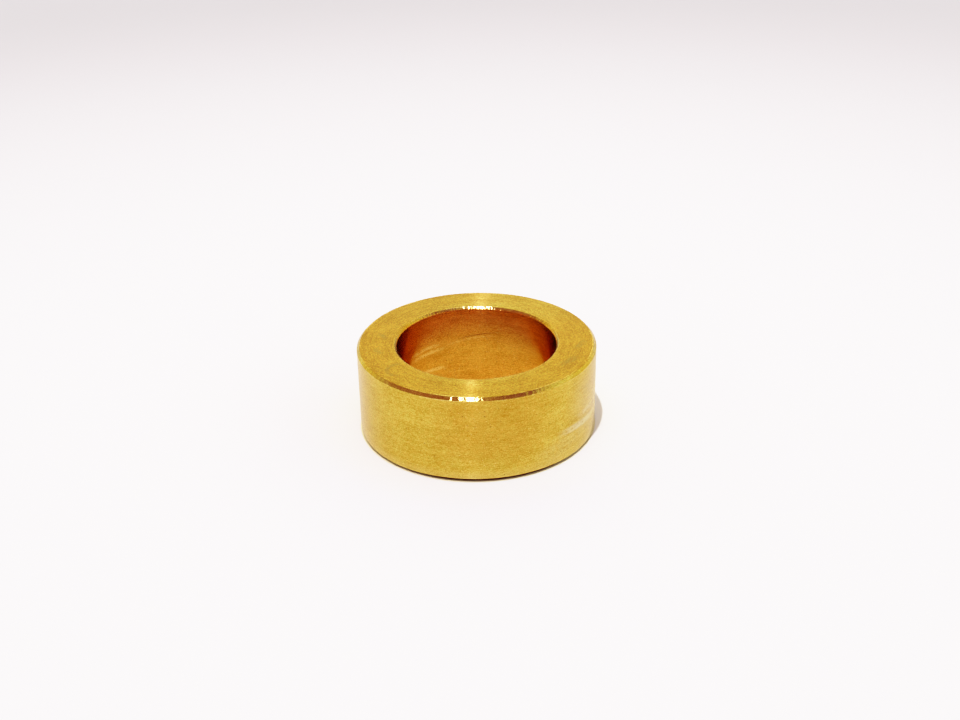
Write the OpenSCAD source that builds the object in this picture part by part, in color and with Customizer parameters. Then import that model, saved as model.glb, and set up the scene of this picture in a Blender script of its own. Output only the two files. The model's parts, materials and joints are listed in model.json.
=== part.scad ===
// Ring-style guitar slide: a short, thick-walled brass ring worn on one finger.
// The player presses its outer wall on the strings. It is turned from one piece of bar.
//
// Frame: millimetres, +Z along the bore. The origin is the centre of the face it stands on.

/* [Bore] */
// Diameter of the bore, which is the finger size
bore_d = 20; // [15:0.5:24]
// Leg of the small 45-degree break where the bore meets each face
bore_break = 0.3; // [0.1:0.05:0.8]

/* [Body] */
// Thickness of the wall between the bore and the playing surface
wall = 5; // [2:0.25:8]
// Height of the ring along the bore
height = 11.3; // [6:0.1:30]
// Leg of the 45-degree chamfer between the playing surface and each face
edge_chamfer = 0.35; // [0.1:0.05:0.9]

/* [Hidden] */
bore_r = bore_d / 2;
outer_r = bore_r + wall;
$fn = 180;

// Half-section of the ring: x is the distance from the axis, y is the height above the base.
module wall_section() {
    polygon([
        [bore_r + bore_break, 0],
        [outer_r - edge_chamfer, 0],
        [outer_r, edge_chamfer],
        [outer_r, height - edge_chamfer],
        [outer_r - edge_chamfer, height],
        [bore_r + bore_break, height],
        [bore_r, height - bore_break],
        [bore_r, bore_break]
    ]);
}

// The whole slide: the half-section turned about the bore's axis.
module slide_ring() {
    color([0.84, 0.69, 0.24])
        rotate_extrude()
            wall_section();
}

slide_ring();
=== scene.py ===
"""Looks of the brass slide ring: its turned mesh and brass, a pale floor and soft studio light."""
import json
import math
from types import SimpleNamespace

import bpy
import numpy as np
from mathutils import Matrix, Vector


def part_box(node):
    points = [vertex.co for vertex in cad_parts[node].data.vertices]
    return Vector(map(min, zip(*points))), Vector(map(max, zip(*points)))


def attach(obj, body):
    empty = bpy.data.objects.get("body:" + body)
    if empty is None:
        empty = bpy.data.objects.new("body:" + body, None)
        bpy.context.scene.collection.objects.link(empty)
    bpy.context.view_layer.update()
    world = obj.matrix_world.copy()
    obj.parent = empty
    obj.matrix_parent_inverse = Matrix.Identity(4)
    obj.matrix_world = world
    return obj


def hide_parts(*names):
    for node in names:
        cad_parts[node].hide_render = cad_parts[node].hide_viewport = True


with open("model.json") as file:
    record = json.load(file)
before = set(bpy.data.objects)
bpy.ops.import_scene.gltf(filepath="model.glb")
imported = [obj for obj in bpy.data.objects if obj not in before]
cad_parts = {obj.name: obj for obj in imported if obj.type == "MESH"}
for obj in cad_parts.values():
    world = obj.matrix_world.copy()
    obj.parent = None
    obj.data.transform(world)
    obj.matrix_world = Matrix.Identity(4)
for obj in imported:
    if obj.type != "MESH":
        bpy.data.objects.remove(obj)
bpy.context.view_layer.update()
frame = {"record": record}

MM = 0.001
NODE = "slide_ring"

# ---------------------------------------------------------------------------------------------
# Sizes, in metres
# ---------------------------------------------------------------------------------------------
low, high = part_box(NODE)
bore_mount = next(m for m in frame["record"]["mounts"] if m["name"] == "bore")

OUTER_R = (high.x - low.x) / 2
HEIGHT = high.z - low.z
BORE_R = bore_mount["dims"]["r_mm"] * MM
BORE_BREAK = (HEIGHT - bore_mount["dims"]["length_mm"] * MM) / 2
# Leg of the chamfer between the outer wall and each face, as in the CAD
EDGE_CHAMFER = 0.35 * MM
CENTRE = Vector((0, 0, HEIGHT / 2))

# ---------------------------------------------------------------------------------------------
# Camera
# ---------------------------------------------------------------------------------------------
CAMERA_DISTANCE = 158.7 * MM
CAMERA_ELEVATION = math.radians(28.2)
CAMERA_ROLL = math.radians(-1.06)
CAMERA_PAN = math.radians(0.13)
CAMERA_TILT = math.radians(0.94)
LENS_MM = 46.7
SENSOR_MM = 36


def link(thing):
    """Puts a new object in the scene."""
    bpy.context.scene.collection.objects.link(thing)
    return thing


def make_camera():
    """A camera in front of the ring (towards -Y) and above it, turned a little off its centre."""
    data = bpy.data.cameras.new("camera")
    data.lens = LENS_MM
    data.sensor_width = SENSOR_MM
    data.clip_start = 0.01
    data.clip_end = 20
    camera = link(bpy.data.objects.new("camera", data))
    outward = Vector((0, -math.cos(CAMERA_ELEVATION), math.sin(CAMERA_ELEVATION)))
    turn = Matrix.Rotation(math.pi / 2 - CAMERA_ELEVATION, 4, "X")
    turn = turn @ Matrix.Rotation(CAMERA_ROLL, 4, "Z")
    turn = turn @ Matrix.Rotation(-CAMERA_PAN, 4, "Y")
    turn = turn @ Matrix.Rotation(CAMERA_TILT, 4, "X")
    camera.matrix_world = Matrix.Translation(CENTRE + outward * CAMERA_DISTANCE) @ turn
    bpy.context.scene.camera = camera


# ---------------------------------------------------------------------------------------------
# Node trees
# ---------------------------------------------------------------------------------------------
class Graph:
    """A node tree with one short call per node. Numbers and sockets can be passed alike."""

    def __init__(self, tree):
        self.tree = tree
        self.tree.nodes.clear()

    def node(self, kind, **settings):
        made = self.tree.nodes.new(kind)
        for name, value in settings.items():
            setattr(made, name, value)
        return made

    def feed(self, socket, value):
        if isinstance(value, bpy.types.NodeSocket):
            self.tree.links.new(value, socket)
        elif socket.type == "RGBA":
            socket.default_value = (*value, 1)
        else:
            socket.default_value = value

    def feed_mix(self, made, share, first, second):
        """The result of a mix node that goes from first to second as share goes from 0 to 1."""
        for name, value in (("Factor", share), ("A", first), ("B", second)):
            self.feed(made.inputs[name], value)
        return made.outputs["Result"]

    def math(self, operation, *values):
        made = self.node("ShaderNodeMath", operation=operation)
        for socket, value in zip(made.inputs, values):
            self.feed(socket, value)
        return made.outputs[0]

    def add(self, *values):
        total = values[0]
        for value in values[1:]:
            total = self.math("ADD", total, value)
        return total

    def times(self, *values):
        product = values[0]
        for value in values[1:]:
            product = self.math("MULTIPLY", product, value)
        return product

    def weighted(self, *pairs):
        """The sum of every value times its weight, from pairs of (value, weight)."""
        return self.add(*(self.times(value, weight) for value, weight in pairs))

    def combine(self, x, y, z):
        made = self.node("ShaderNodeCombineXYZ")
        for socket, value in zip(made.inputs, (x, y, z)):
            self.feed(socket, value)
        return made.outputs[0]

    def separate(self, vector):
        made = self.node("ShaderNodeSeparateXYZ")
        self.feed(made.inputs[0], vector)
        return made.outputs

    def noise(self, vector, w=None, scale=1.0, detail=2.0, roughness=0.5):
        """Noise centred on 0, mostly within -0.25 and 0.25. It has a fourth coordinate if w is given."""
        made = self.node("ShaderNodeTexNoise", noise_dimensions="3D" if w is None else "4D")
        self.feed(made.inputs["Vector"], vector)
        if w is not None:
            self.feed(made.inputs["W"], w)
        made.inputs["Scale"].default_value = scale
        made.inputs["Detail"].default_value = detail
        made.inputs["Roughness"].default_value = roughness
        return self.math("SUBTRACT", made.outputs["Fac"], 0.5)

    def ramp(self, value, start, end, before, after):
        """Goes smoothly from before to after as value goes from start to end, and holds them outside."""
        made = self.node("ShaderNodeMapRange", interpolation_type="SMOOTHSTEP")
        self.feed(made.inputs["Value"], value)
        made.inputs["From Min"].default_value = start
        made.inputs["From Max"].default_value = end
        made.inputs["To Min"].default_value = before
        made.inputs["To Max"].default_value = after
        return made.outputs["Result"]

    def rising(self, value, start, end):
        """0 up to start and 1 from end on."""
        return self.ramp(value, start, end, 0.0, 1.0)

    def falling(self, value, start, end):
        """1 up to start and 0 from end on."""
        return self.ramp(value, start, end, 1.0, 0.0)

    def near(self, value, middle, reach):
        """1 where value is at middle, fading to 0 at reach from it."""
        gap = self.math("ABSOLUTE", self.add(value, -middle))
        return self.falling(gap, 0.3 * reach, reach)

    def between(self, share, first, second):
        """A number between two others."""
        return self.feed_mix(self.node("ShaderNodeMix"), share, first, second)

    def mix(self, share, first, second, way="MIX"):
        """A colour between two others, or in another way of blending."""
        made = self.node("ShaderNodeMix", data_type="RGBA", blend_type=way)
        return self.feed_mix(made, share, first, second)

    def cover(self, colour, paint, where, strength):
        """The colour with paint over it, where the mask is 1, at a strength from 0 to 1."""
        return self.mix(self.times(where, strength), colour, paint)

    def shade(self, colour, filter_colour):
        """The colour as seen through a filter."""
        return self.mix(1.0, colour, filter_colour, "MULTIPLY")

    def show(self, kind, shader):
        """Makes the shader the tree's result."""
        output = self.node(kind)
        self.feed(output.inputs["Surface"], shader.outputs[0])


# ---------------------------------------------------------------------------------------------
# Places and patterns on the ring
# ---------------------------------------------------------------------------------------------
class RingSpace:
    """Where a point is on the ring, in millimetres and degrees, and patterns that follow it round."""

    def __init__(self, graph):
        self.graph = graph
        self.position = graph.node("ShaderNodeTexCoord").outputs["Object"]
        x, y, z = graph.separate(self.position)
        self.x = graph.times(x, 1 / MM)
        self.y = graph.times(y, 1 / MM)
        self.height = graph.times(z, 1 / MM)
        squares = graph.add(graph.times(self.x, self.x), graph.times(self.y, self.y))
        self.radius = graph.math("SQRT", squares)
        # Degrees round from the front (-Y), and round from the back (+Y), both positive towards +X
        self.from_front = graph.math("DEGREES", graph.math("ARCTAN2", self.x, graph.times(self.y, -1)))
        self.from_back = graph.math("DEGREES", graph.math("ARCTAN2", self.x, self.y))
        # Millimetres round the outer wall from the front, and round the bore from the back
        self.along_wall = graph.times(self.from_front, math.radians(1) * OUTER_R / MM)
        self.along_bore = graph.times(self.from_back, math.radians(1) * BORE_R / MM)

    def turned(self, lines_per_mm, turns, detail=2.0, roughness=0.5):
        """Noise drawn out round the axis: lines_per_mm across the lines, and turns to break them up."""
        graph = self.graph
        across = graph.math("DIVIDE", self.x, self.radius)
        up = graph.math("DIVIDE", self.y, self.radius)
        place = graph.combine(
            graph.times(across, turns), graph.times(up, turns), graph.times(self.height, lines_per_mm)
        )
        outward = graph.times(self.radius, lines_per_mm)
        return graph.noise(place, outward, detail=detail, roughness=roughness)

    def grain(self, per_mm, detail=2.0, roughness=0.5):
        """Even noise with per_mm patches in a millimetre."""
        return self.graph.noise(self.position, scale=per_mm / MM, detail=detail, roughness=roughness)

    def specks(self, per_mm, size):
        """Small round spots, size millimetres across at most, scattered over the surface."""
        graph = self.graph
        cells = graph.node("ShaderNodeTexVoronoi")
        graph.feed(cells.inputs["Vector"], self.position)
        cells.inputs["Scale"].default_value = per_mm / MM
        reach = per_mm * size / 2
        return graph.falling(cells.outputs["Distance"], 0.5 * reach, reach)

    def stroke(self, along, across, start, end, width):
        """A soft straight mark from start to end, both as (along, across) in millimetres."""
        graph = self.graph
        length = math.dist(start, end)
        lead = ((end[0] - start[0]) / length, (end[1] - start[1]) / length)
        along, across = graph.add(along, -start[0]), graph.add(across, -start[1])
        down = graph.weighted((along, lead[0]), (across, lead[1]))
        aside = graph.weighted((along, -lead[1]), (across, lead[0]))
        fade_in = graph.rising(down, 0, 0.4 * length)
        fade_out = graph.falling(down, 0.65 * length, length)
        return graph.times(graph.near(aside, 0, width), fade_in, fade_out)

    def wall_stroke(self, start, end, width):
        """A stroke on the outer wall, as (distance round from the front, height)."""
        return self.stroke(self.along_wall, self.height, start, end, width)

    def bore_stroke(self, start, end, width):
        """A stroke in the bore, as (distance round from the back, height)."""
        return self.stroke(self.along_bore, self.height, start, end, width)

    def face_stroke(self, start, end, width):
        """A stroke on a flat face, as (x, y)."""
        return self.stroke(self.x, self.y, start, end, width)


# Lines of the section that the masks follow, in millimetres
FACE_END = (OUTER_R - EDGE_CHAMFER) / MM
BREAK_END = (BORE_R + BORE_BREAK) / MM
TOP = HEIGHT / MM
CHAMFER = EDGE_CHAMFER / MM


def surface_masks(ring):
    """1 on each surface and 0 off it. The wall takes in its chamfers, and the bevels are on all edges."""
    graph = ring.graph
    wall = graph.rising(ring.radius, FACE_END - 0.03, FACE_END + 0.05)
    broken = graph.falling(ring.radius, BREAK_END - 0.05, BREAK_END + 0.03)
    from_middle = graph.math("ABSOLUTE", graph.add(ring.height, -TOP / 2))
    ends = graph.rising(from_middle, TOP / 2 - CHAMFER - 0.03, TOP / 2 - CHAMFER + 0.05)
    return SimpleNamespace(
        wall=wall,
        bore=graph.falling(ring.radius, BORE_R / MM + 0.03, BORE_R / MM + 0.09),
        top=graph.rising(ring.height, TOP - 0.1, TOP - 0.05),
        bevel=graph.times(graph.add(wall, broken), ends),
    )


def turning_patterns(ring):
    """What the lathe and the metal's own grain leave, from long tool lines to pits and bright grains."""
    return SimpleNamespace(
        lines=ring.turned(2.0, 0.8, detail=4.0, roughness=0.75),
        dashes=ring.turned(5.0, 7.0),
        bands=ring.turned(0.7, 2.5),
        flecks=ring.turned(8.0, 40.0),
        grain=ring.grain(8.0, detail=1.0),
        mottle=ring.grain(2.2),
        clouds=ring.grain(0.35, detail=3.0, roughness=0.6),
        dark_specks=ring.specks(1.3, 0.17),
        light_specks=ring.specks(1.7, 0.14),
    )


# ---------------------------------------------------------------------------------------------
# Marks of use, and painted shade and highlights
# ---------------------------------------------------------------------------------------------
def wall_smear_and_sheen(ring):
    """A pale smear right of the front, with a fainter one above it and hazes round both. The hazes are
    painted sheen: they lighten the right of the wall, standing in for the brighter reflection there.
    """
    main = ring.wall_stroke((9.5, 4.35), (24.0, 3.1), 0.62)
    upper = ring.wall_stroke((13.5, 5.3), (20.0, 4.9), 0.50)
    # Painted sheen: two wide hazes that lighten the right of the wall
    high_haze = ring.wall_stroke((11.0, 8.4), (27.0, 4.6), 3.2)
    low_haze = ring.wall_stroke((5.0, 0.4), (20.0, 5.4), 2.2)
    return ring.graph.weighted((main, 1.0), (upper, 0.5), (high_haze, 0.28), (low_haze, 0.18))


def bore_scratches(ring):
    """Pale marks on the far bore wall: a slanting scratch and three short tool rings."""
    slanting = ring.bore_stroke((-5.4, 5.95), (3.4, 7.38), 0.24)
    rings = [
        ring.bore_stroke((-11.4, 6.3), (-4.2, 6.6), 0.32),
        ring.bore_stroke((-11.0, 5.5), (-3.6, 5.9), 0.38),
        ring.bore_stroke((-8.8, 3.25), (-3.4, 2.85), 0.36),
    ]
    return ring.graph.add(ring.graph.times(slanting, 0.55), *rings)


def scratch_shadow(ring):
    """The dark side of the slanting scratch in the bore."""
    return ring.bore_stroke((-3.4, 6.68), (3.6, 7.80), 0.13)


def face_smudges(ring):
    """Olive smudges on the top face: short strokes left and right of the bore, and a curl at the left."""
    graph = ring.graph
    strokes = [
        ring.face_stroke((-12.4, 2.8), (-11.1, 0.7), 0.50),
        ring.face_stroke((-13.0, -1.4), (-11.6, -3.4), 0.60),
        ring.face_stroke((9.6, -7.4), (12.8, -4.4), 0.70),
        ring.face_stroke((12.0, -3.2), (13.8, 0.0), 0.55),
    ]
    curl_x, curl_y = graph.add(ring.x, 9.3), graph.add(ring.y, 7.5)
    squares = graph.add(graph.times(curl_x, curl_x), graph.times(curl_y, curl_y))
    loop = graph.near(graph.math("SQRT", squares), 1.5, 0.42)
    curl = graph.times(loop, graph.falling(curl_x, -0.6, 0.3))
    return graph.add(*strokes, curl)


def foot_grime_and_contact_shade(ring, mask):
    """A dark line along the foot of the outer wall, thickest in front: partly grime, partly painted contact
    shadow.
    """
    graph = ring.graph
    thicker = graph.times(graph.near(ring.from_front, 8, 60), 0.13)
    reach = graph.math("SUBTRACT", ring.height, thicker)
    return graph.times(graph.falling(reach, 0.28, 0.32), mask.wall)


def rubbed_and_highlit_edges(ring, mask, turning):
    """Bright lines along the edges: at the rim of the face, under the top chamfer and at the bore. They are
    partly brass rubbed bright and partly painted highlight, where the rounded edges catch the light.
    """
    graph = ring.graph
    rim = graph.near(ring.radius, FACE_END - 0.10, 0.11)
    lip = graph.times(graph.near(ring.height, TOP - CHAMFER - 0.07, 0.08), mask.wall)
    bore_rim = graph.near(ring.radius, BREAK_END, 0.08)
    patchy = graph.rising(graph.weighted((turning.grain, 1.0), (turning.bands, 1.5)), -0.1, 0.2)
    return graph.times(graph.weighted((rim, 1.0), (lip, 0.5), (bore_rim, 0.7)), patchy)


def mark_masks(ring, mask, turning):
    """Where each mark is: marks of use, and painted shade and highlights among them. The turning breaks up
    the smear, the scratches and the smudges.
    """
    graph = ring.graph
    ragged = graph.rising(graph.add(turning.grain, turning.mottle, turning.dashes), -0.35, 0.15)
    streaky = graph.rising(graph.add(turning.lines, turning.dashes, turning.mottle), -0.6, 0.15)
    return SimpleNamespace(
        smear_and_sheen=graph.times(wall_smear_and_sheen(ring), mask.wall, streaky),
        scratches=graph.times(bore_scratches(ring), mask.bore, ragged),
        shadow=graph.times(scratch_shadow(ring), mask.bore),
        smudges=graph.times(face_smudges(ring), mask.top, ragged),
        edges=rubbed_and_highlit_edges(ring, mask, turning),
        # Painted highlight: the lower outer wall made lighter, standing in for the bright floor it reflects
        foot_painted_sheen=graph.times(graph.falling(ring.height, 0.4, 1.9), mask.wall),
        # Painted contact shade at the foot, with grime
        foot=foot_grime_and_contact_shade(ring, mask),
    )


# ---------------------------------------------------------------------------------------------
# Turned brass
# ---------------------------------------------------------------------------------------------
WALL_BRASS = (0.585, 0.437, 0.064)
FACE_BRASS = (0.565, 0.365, 0.040)
# Top face darker at the sides and paler in places: partly tarnish, partly painted shade and sheen
DULL_FACE_AND_SHADE = (0.525, 0.325, 0.033)
PALE_FACE_AND_SHEEN = (0.75, 0.66, 0.14)
# The bore's brass, redder than the wall's and redder still higher up: the extra red is painted light,
# standing in for light bounced to and fro in the bore
BORE_BRASS_AND_BOUNCES = (0.635, 0.35, 0.031)
RED_BORE_BOUNCES = (0.65, 0.28, 0.030)
# Warm front of the outer wall: partly tarnish, partly painted shade
WARM_TARNISH_AND_SHADE = (0.53, 0.34, 0.042)
# Filters over the alloy, from the dark of the tool lines to the light, and from redder to yellower
DARK_SHADE = (0.785, 0.645, 0.33)
LIGHT_SHADE = (1.24, 1.28, 1.85)
ORANGE_HUE = (1.02, 0.955, 0.93)
YELLOW_HUE = (0.985, 1.03, 1.04)
# Pale brass of the bright grains, also used as painted highlight on the edges and the lower wall
BRIGHT_BRASS_AND_HIGHLIGHT = (0.95, 0.80, 0.32)
# Dark brown of grime and pits, also used as painted shade at the foot and along the scratch
GRIME_AND_SHADE = (0.085, 0.005, 0.002)
SMUDGE = (0.33, 0.24, 0.07)
PALE_SMEAR_AND_SHEEN = (0.84, 0.75, 0.46)
FRESH_SCRATCH = (0.88, 0.64, 0.15)
# Tints of the reflection at a grazing angle
NO_TINT = (1.0, 1.0, 1.0)
# Dark red at a grazing angle in the bore: painted light bounced within it
BORE_BOUNCE_EDGE_TINT = (0.62, 0.15, 0.20)
# At the foot, where the dark line is partly grime and partly painted contact shadow
GRIME_AND_SHADE_EDGE_TINT = (0.50, 0.01, 0.01)
FACE_ROUGHNESS = 0.245
WALL_ROUGHNESS = 0.225
BEVEL_ROUGHNESS = 0.20
BORE_ROUGHNESS = 0.165
RELIEF = 0.004 * MM


def alloy_colour(ring, mask):
    """The alloy as each surface shows it. The top face is darker at the sides and paler near the bore in
    front and behind and at the back right, and the front of the outer wall is warmer: partly tarnish,
    partly painted shade and sheen.
    """
    graph = ring.graph
    aside = graph.math("ABSOLUTE", ring.x)
    # Painted shade, partly tarnish: the top face darker at the sides
    colour = graph.mix(graph.rising(aside, 7.5, 12.0), FACE_BRASS, DULL_FACE_AND_SHADE)
    inner = graph.times(graph.falling(ring.radius, 10.8, 12.2), graph.falling(aside, 3, 9))
    back_right = graph.near(ring.from_back, 34, 40)
    # Painted sheen, partly tarnish: paler near the bore in front and behind, and at the back right
    colour = graph.mix(graph.weighted((inner, 0.20), (back_right, 0.24)), colour, PALE_FACE_AND_SHEEN)
    colour = graph.mix(mask.wall, colour, WALL_BRASS)
    front = graph.times(graph.near(ring.from_front, 6, 38), graph.rising(ring.height, 0.6, 5.5))
    # Partly tarnish, partly painted shade: the front of the outer wall warmer
    colour = graph.cover(colour, WARM_TARNISH_AND_SHADE, graph.times(front, mask.wall), 0.85)
    # Painted light: the bore redder, more so towards the top, for light bounced within it
    bore_colour = graph.mix(graph.rising(ring.height, 5.0, 10.2), BORE_BRASS_AND_BOUNCES, RED_BORE_BOUNCES)
    return graph.mix(mask.bore, colour, bore_colour)


def turned_colour(graph, colour, mask, turning):
    """The colour made lighter and darker by the turning, and redder and yellower in small patches."""
    texture = graph.weighted(
        (turning.lines, 0.95), (turning.dashes, 0.9), (turning.bands, 0.4),
        (turning.flecks, 1.7), (turning.grain, 1.7), (turning.clouds, 0.85),
    )
    tone = graph.add(0.5, graph.times(texture, graph.between(mask.wall, 1.1, 0.8)))
    colour = graph.shade(colour, graph.mix(tone, DARK_SHADE, LIGHT_SHADE))
    hue = graph.rising(graph.add(turning.mottle, turning.grain), -0.22, 0.22)
    return graph.shade(colour, graph.mix(hue, ORANGE_HUE, YELLOW_HUE))


def marked_colour(graph, colour, turning, marks):
    """The colour under the marks of use, the grime, the pits and the bright grains, and under the painted
    shade and highlights: the scratch's shadow, the dark foot, the bright edges and the lighter foot of the
    wall.
    """
    # The pale smear, with its hazes of painted sheen
    colour = graph.cover(colour, PALE_SMEAR_AND_SHEEN, marks.smear_and_sheen, 0.65)
    colour = graph.cover(colour, FRESH_SCRATCH, marks.scratches, 0.72)
    # Painted shadow along the slanting scratch
    colour = graph.cover(colour, GRIME_AND_SHADE, marks.shadow, 0.38)
    colour = graph.cover(colour, SMUDGE, marks.smudges, 0.5)
    # Bright edges: partly brass rubbed bright, partly painted highlight
    colour = graph.cover(colour, BRIGHT_BRASS_AND_HIGHLIGHT, marks.edges, 0.8)
    # Painted highlight: the lower outer wall lighter, for the bright floor it reflects
    colour = graph.cover(colour, BRIGHT_BRASS_AND_HIGHLIGHT, marks.foot_painted_sheen, 0.18)
    # Painted shade at the foot: a dark line that is partly grime and partly the contact shadow
    colour = graph.mix(marks.foot, colour, GRIME_AND_SHADE)
    colour = graph.cover(colour, GRIME_AND_SHADE, turning.dark_specks, 0.6)
    return graph.cover(colour, BRIGHT_BRASS_AND_HIGHLIGHT, turning.light_specks, 0.4)


def grazing_tint(graph, mask, marks):
    """What the metal's reflection turns to at a grazing angle: dark red in the bore and at the foot. Both
    are painted: in the bore for light bounced to and fro, at the foot partly for grime and partly for the
    contact shadow.
    """
    tint = graph.mix(mask.bore, NO_TINT, BORE_BOUNCE_EDGE_TINT)
    return graph.mix(marks.foot, tint, GRIME_AND_SHADE_EDGE_TINT)


def satin_roughness(graph, mask, turning, marks):
    """A roughness for each surface, a little uneven, and duller in the smear and the pits."""
    finish = graph.between(mask.wall, FACE_ROUGHNESS, WALL_ROUGHNESS)
    finish = graph.between(mask.bore, finish, BORE_ROUGHNESS)
    finish = graph.between(mask.bevel, finish, BEVEL_ROUGHNESS)
    uneven = graph.weighted(
        (turning.lines, 0.08), (turning.dashes, 0.06), (turning.clouds, 0.08),
        (turning.dark_specks, 0.2), (marks.smear_and_sheen, 0.15),
    )
    return graph.add(finish, uneven)


def relief(graph, mask, turning, marks):
    """A bump of tool lines, scratches, pits, and grain that is coarser on the bevels."""
    bump = graph.node("ShaderNodeBump")
    bump.inputs["Distance"].default_value = RELIEF
    grain_depth = graph.add(0.3, graph.times(mask.bevel, 2.1))
    heights = graph.weighted(
        (turning.lines, 0.6), (turning.dashes, 0.4), (turning.grain, grain_depth), (turning.flecks, 0.2),
        (marks.scratches, -0.3), (turning.dark_specks, -0.5),
    )
    graph.feed(bump.inputs["Height"], heights)
    return bump.outputs["Normal"]


def make_brass():
    """Turned brass. The tool lines run round the axis, so its gloss is drawn out across them."""
    material = bpy.data.materials.new("turned_brass")
    material.use_nodes = True
    graph = Graph(material.node_tree)
    ring = RingSpace(graph)
    mask = surface_masks(ring)
    turning = turning_patterns(ring)
    marks = mark_masks(ring, mask, turning)
    colour = turned_colour(graph, alloy_colour(ring, mask), mask, turning)
    tangent = graph.node("ShaderNodeTangent", direction_type="RADIAL", axis="Z")

    shader = graph.node("ShaderNodeBsdfPrincipled")
    shader.inputs["Metallic"].default_value = 1.0
    shader.inputs["Anisotropic"].default_value = 1.0
    shader.inputs["Anisotropic Rotation"].default_value = 0.25
    graph.feed(shader.inputs["Tangent"], tangent.outputs[0])
    graph.feed(shader.inputs["Base Color"], marked_colour(graph, colour, turning, marks))
    graph.feed(shader.inputs["Specular Tint"], grazing_tint(graph, mask, marks))
    graph.feed(shader.inputs["Roughness"], satin_roughness(graph, mask, turning, marks))
    graph.feed(shader.inputs["Normal"], relief(graph, mask, turning, marks))
    graph.show("ShaderNodeOutputMaterial", shader)
    return material


# ---------------------------------------------------------------------------------------------
# The ring's mesh
# ---------------------------------------------------------------------------------------------
SEGMENTS = 720
STATIONS = np.arange(SEGMENTS) * 2 * math.pi / SEGMENTS
# Radius of every rounded corner of the section, and how many rows of faces go round it
EDGE_RADIUS = 0.04 * MM
EDGE_STEPS = 3
# Rows of faces along a flat face, a chamfer and a wall, and then along each side of the section
FACE_ROWS, BEVEL_ROWS, WALL_ROWS = 10, 3, 12
SIDE_ROWS = (FACE_ROWS, BEVEL_ROWS, WALL_ROWS, BEVEL_ROWS) * 2
# How far the top chamfer wavers in slow waves and in fast ones, and the bore's edge breaks likewise
CHAMFER_WAVER = 0.015 * MM
CHAMFER_CHATTER = 0.020 * MM
BREAK_WAVER = 0.05 * MM
BREAK_CHATTER = 0.05 * MM
NICK_DEPTH = 0.04 * MM
NICK_WIDTH = 0.30 * MM


def wobble(seed, slowest, fastest, size):
    """An uneven closed wave round the ring, of size metres, made of slowest to fastest ripples a turn."""
    random = np.random.default_rng(seed)
    ripples = np.arange(slowest, fastest + 1)
    phases = random.uniform(0, 2 * math.pi, len(ripples))
    strengths = random.uniform(0.3, 1.0, len(ripples))
    wave = strengths @ np.cos(np.outer(ripples, STATIONS) + phases[:, None])
    return size * wave / np.abs(wave).max()


def nicks(seed, count):
    """Small dents scattered round an edge of the outer wall: how deep each station is dented, in metres."""
    random = np.random.default_rng(seed)
    dents = np.zeros(SEGMENTS)
    for middle, share in zip(random.uniform(0, 2 * math.pi, count), random.uniform(0.3, 1.0, count)):
        gap = (STATIONS - middle + math.pi) % (2 * math.pi) - math.pi
        dents += NICK_DEPTH * share * np.exp(-(gap * OUTER_R / (NICK_WIDTH * share)) ** 2)
    return dents


def hand_break(seed):
    """Leg of the bore's edge break at every station: uneven, with the chatter of a hand tool."""
    return BORE_BREAK + wobble(seed, 2, 8, BREAK_WAVER) + wobble(seed + 1, 50, 200, BREAK_CHATTER)


def corner_points(distance, height):
    """One corner of the section at every station round the ring, as (station, 2)."""
    return np.stack([np.broadcast_to(distance, SEGMENTS), np.broadcast_to(height, SEGMENTS)], axis=-1)


def section_corners():
    """The section's eight corners, from the base up the outer wall and down the bore."""
    top_chamfer = EDGE_CHAMFER + wobble(11, 2, 9, CHAMFER_WAVER) + wobble(14, 90, 270, CHAMFER_CHATTER)
    top_leg = top_chamfer + nicks(15, 9)
    return [
        corner_points(BORE_R + hand_break(21), 0),
        corner_points(OUTER_R - EDGE_CHAMFER, 0),
        corner_points(OUTER_R, EDGE_CHAMFER + nicks(13, 8)),
        corner_points(OUTER_R, HEIGHT - top_leg),
        corner_points(OUTER_R - top_leg, HEIGHT),
        corner_points(BORE_R + hand_break(31), HEIGHT),
        corner_points(BORE_R, HEIGHT - hand_break(41)),
        corner_points(BORE_R, hand_break(51)),
    ]


def unit(vectors):
    """The vectors at a length of 1."""
    return vectors / np.linalg.norm(vectors, axis=-1, keepdims=True)


def rounded_corner(before, corner, after):
    """Rows of points round one corner of the section, from the side behind it to the side ahead."""
    back = unit(before - corner)
    onward = unit(after - corner)
    half_turn = (math.pi - np.arccos((back * onward).sum(axis=-1, keepdims=True))) / 2
    setback = EDGE_RADIUS * np.tan(half_turn)
    start, end = corner + back * setback, corner + onward * setback
    centre = corner + unit(back + onward) * EDGE_RADIUS / np.cos(half_turn)
    shares = [step / EDGE_STEPS for step in range(EDGE_STEPS + 1)]
    spokes = [(start - centre) * (1 - share) + (end - centre) * share for share in shares]
    return [centre + unit(spoke) * EDGE_RADIUS for spoke in spokes]


def rounded_outline(corners):
    """Rows of points round the section, with every corner rounded, as (row, station, 2)."""
    afters = corners[1:] + corners[:1]
    arcs = [rounded_corner(corners[i - 1], corners[i], after) for i, after in enumerate(afters)]
    rows = []
    for arc, next_arc, count in zip(arcs, arcs[1:] + arcs[:1], SIDE_ROWS):
        rows += arc
        start, stop = arc[-1], next_arc[0]
        rows += [start + (stop - start) * step / count for step in range(1, count)]
    return np.array(rows)


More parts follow.
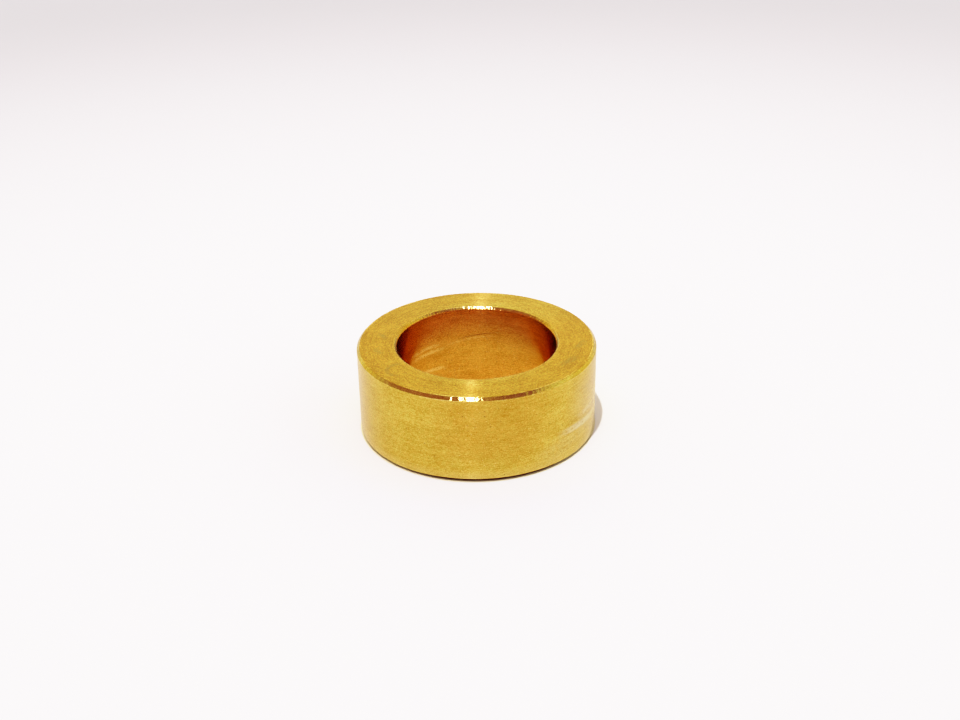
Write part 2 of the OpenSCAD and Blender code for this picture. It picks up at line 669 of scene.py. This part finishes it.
def revolve(outline):
    """Vertices and faces of the outline turned about the Z axis."""
    rows = len(outline)
    radius, height = outline[..., 0], outline[..., 1]
    vertices = np.stack([radius * np.cos(STATIONS), radius * np.sin(STATIONS), height], axis=-1)
    row, column = np.meshgrid(np.arange(rows), np.arange(SEGMENTS), indexing="ij")
    next_row, next_column = (row + 1) % rows, (column + 1) % SEGMENTS
    start, next_start = row * SEGMENTS, next_row * SEGMENTS
    corners = [start + column, start + next_column, next_start + next_column, next_start + column]
    faces = np.stack(corners, axis=-1)
    return vertices.reshape(-1, 3), faces.reshape(-1, 4)


def make_ring():
    """The ring as one closed mesh, in place of the CAD solid."""
    vertices, faces = revolve(rounded_outline(section_corners()))
    mesh = bpy.data.meshes.new("brass_ring")
    mesh.from_pydata(vertices.tolist(), [], faces.tolist())
    mesh.shade_smooth()
    mesh.materials.append(make_brass())
    return link(bpy.data.objects.new("brass_ring", mesh))


# ---------------------------------------------------------------------------------------------
# Floor
# ---------------------------------------------------------------------------------------------
FLOOR_SIDE = 8.0
FLOOR_WHITE = (0.88, 0.91, 0.985)
# Painted shade: the floor's colour dims away from the ring, standing in for light that falls off there
FLOOR_PAINTED_DIM = (0.58, 0.60, 0.65)
FLOOR_PAINTED_FAR = (0.67, 0.735, 0.80)
# Yellow of the light that the brass throws on the floor, painted into the floor's colour
PAINTED_BRASS_GLOW = (0.92, 0.86, 0.46)


def painted_brass_glow(graph, distance):
    """Painted light: the yellow that the brass throws on the floor, put into the floor's colour, strong at
    the line of contact, then faint.
    """
    outside = graph.rising(distance, OUTER_R - 2 * EDGE_CHAMFER, OUTER_R - EDGE_CHAMFER)
    strong = graph.ramp(distance, OUTER_R, OUTER_R + 0.2 * MM, 0.8, 0.0)
    faint = graph.ramp(distance, OUTER_R + 1 * MM, OUTER_R + 7 * MM, 0.08, 0.0)
    return graph.times(graph.add(strong, faint), outside)


def make_pale_floor():
    """A matt white that is duller away from the ring: painted shade, as if the light fell off away from it,
    with a painted yellow glow at the ring's foot.
    """
    material = bpy.data.materials.new("pale_floor")
    material.use_nodes = True
    graph = Graph(material.node_tree)
    x, y, _ = graph.separate(graph.node("ShaderNodeTexCoord").outputs["Object"])
    distance = graph.math("SQRT", graph.add(graph.times(x, x), graph.times(y, y)))
    # Painted shade, duller away from the ring
    colour = graph.mix(graph.rising(distance, 0.03, 0.30), FLOOR_WHITE, FLOOR_PAINTED_DIM)
    colour = graph.mix(graph.rising(distance, 0.26, 0.9), colour, FLOOR_PAINTED_FAR)
    # Painted light: the brass's yellow glow round the ring's foot
    colour = graph.mix(painted_brass_glow(graph, distance), colour, PAINTED_BRASS_GLOW)
    shader = graph.node("ShaderNodeBsdfDiffuse")
    graph.feed(shader.inputs["Color"], colour)
    graph.show("ShaderNodeOutputMaterial", shader)
    return material


def make_floor():
    """A square floor at the height of the ring's base, round its centre."""
    half = FLOOR_SIDE / 2
    corners = [(-half, -half, 0), (half, -half, 0), (half, half, 0), (-half, half, 0)]
    mesh = bpy.data.meshes.new("floor")
    mesh.from_pydata(corners, [], [(0, 1, 2, 3)])
    mesh.materials.append(make_pale_floor())
    floor = link(bpy.data.objects.new("floor", mesh))


# ---------------------------------------------------------------------------------------------
# Surround and lights
# ---------------------------------------------------------------------------------------------
WORLD_STRENGTH = 1.18
SKY = (0.97, 1.02, 0.98)
HORIZON = (0.84, 0.84, 0.86)
WARM_WALL = (1.07, 1.03, 0.66)
DIM_SIDES = (0.94, 0.82, 0.42)
DARK_ROOM = (0.42, 0.165, 0.20)
DARK_CORNER = (0.33, 0.115, 0.27)
KEY_DIRECTION = (27, 75)
KEY_POWER = 1.95
KEY_SPREAD = math.radians(1.5)
GLINT_DIRECTION = (10, 65)
GLINT_DISTANCE = 0.6
GLINT_POWER = 9
GLINT_COLOUR = (0.9, 1.08, 2.4)
GLINT_RADIUS = 0.012


def add_warm_wall(graph, colour, x, y, rise):
    """The colour with a warm wall behind the ring, which is dimmer to the left and right."""
    behind = graph.rising(y, 0.1, 0.6)
    height = graph.times(graph.rising(rise, 0.10, 0.3), graph.falling(rise, 0.75, 0.95))
    side = graph.times(graph.rising(graph.math("ABSOLUTE", x), 0.03, 0.17), graph.rising(rise, 0.2, 0.4))
    colour = graph.mix(graph.times(behind, height), colour, WARM_WALL)
    return graph.mix(graph.times(side, behind), colour, DIM_SIDES)


def add_dark_room(graph, colour, x, y, rise):
    """The colour with a dark room high up in front, from the left to short of the far right."""
    dark = graph.times(
        graph.rising(rise, 0.34, 0.56), graph.falling(rise, 0.93, 0.98),
        graph.falling(y, 0.20, 0.64), graph.falling(x, 0.60, 0.68),
    )
    room = graph.mix(graph.rising(x, 0.0, 0.4), DARK_ROOM, DARK_CORNER)
    return graph.mix(dark, colour, room)


def make_world():
    """A bright surround, with the warm wall and the dark room that the brass reflects."""
    world = bpy.data.worlds.new("studio")
    bpy.context.scene.world = world
    world.use_nodes = True
    graph = Graph(world.node_tree)
    # x is to the right, y away from the camera, and rise upward, each from -1 to 1
    x, y, rise = graph.separate(graph.node("ShaderNodeTexCoord").outputs["Generated"])
    colour = graph.mix(graph.rising(rise, 0.02, 0.16), HORIZON, SKY)
    colour = add_warm_wall(graph, colour, x, y, rise)
    colour = add_dark_room(graph, colour, x, y, rise)
    background = graph.node("ShaderNodeBackground")
    background.inputs["Strength"].default_value = WORLD_STRENGTH
    graph.feed(background.inputs["Color"], colour)
    graph.show("ShaderNodeOutputWorld", background)


def toward(azimuth, elevation):
    """Unit vector from the ring, by degrees round from the front (-Y) to the left, and degrees up."""
    azimuth, elevation = math.radians(azimuth), math.radians(elevation)
    level = math.cos(elevation)
    return Vector((-math.sin(azimuth) * level, -math.cos(azimuth) * level, math.sin(elevation)))


def make_key_light():
    """A soft sun from above, left of the front. It casts the shadow, and shows in no reflection."""
    light = bpy.data.lights.new("key", "SUN")
    light.energy = KEY_POWER
    light.angle = KEY_SPREAD
    key = link(bpy.data.objects.new("key", light))
    key.rotation_mode = "QUATERNION"
    key.rotation_quaternion = toward(*KEY_DIRECTION).to_track_quat("Z", "Y")
    key.visible_glossy = False


def make_glint_lamp():
    """A small lamp high in front that shows only as glints, on the front edge and at the bore's back."""
    light = bpy.data.lights.new("glint", "POINT")
    light.energy = GLINT_POWER
    light.color = GLINT_COLOUR
    light.shadow_soft_size = GLINT_RADIUS
    glint = link(bpy.data.objects.new("glint", light))
    glint.location = toward(*GLINT_DIRECTION) * GLINT_DISTANCE
    glint.visible_diffuse = False


# ---------------------------------------------------------------------------------------------
# Film
# ---------------------------------------------------------------------------------------------
# How a camera's film answers light: (light, tone), deeper in the dark and levelling off at the shoulder
FILM_CURVE = (
    (0.0, 0.0), (0.03, 0.018), (0.08, 0.058), (0.16, 0.145), (0.3, 0.3),
    (0.6, 0.6), (0.8, 0.775), (1.0, 0.90), (1.2, 0.96), (1.5, 0.99), (2.0, 1.0),
)
COMBINED_CURVE = 3


def set_film_curve():
    """Sets the view's tone curve. Its own ends stay at 0 and 1, and the points go between them."""
    view = bpy.context.scene.view_settings
    view.view_transform = "Standard"
    view.use_curve_mapping = True
    mapping = view.curve_mapping
    brightest = FILM_CURVE[-1][0]
    mapping.white_level = (brightest, brightest, brightest)
    points = mapping.curves[COMBINED_CURVE].points
    for light, tone in FILM_CURVE[1:-1]:
        points.new(light / brightest, tone)
    mapping.update()


def main():
    set_film_curve()
    # Light is thrown to and fro in the bore
    bpy.context.scene.cycles.glossy_bounces = 12
    make_camera()
    make_floor()
    make_world()
    make_key_light()
    make_glint_lamp()
    ring = make_ring()
    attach(ring, "root")
    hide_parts(NODE)


main()
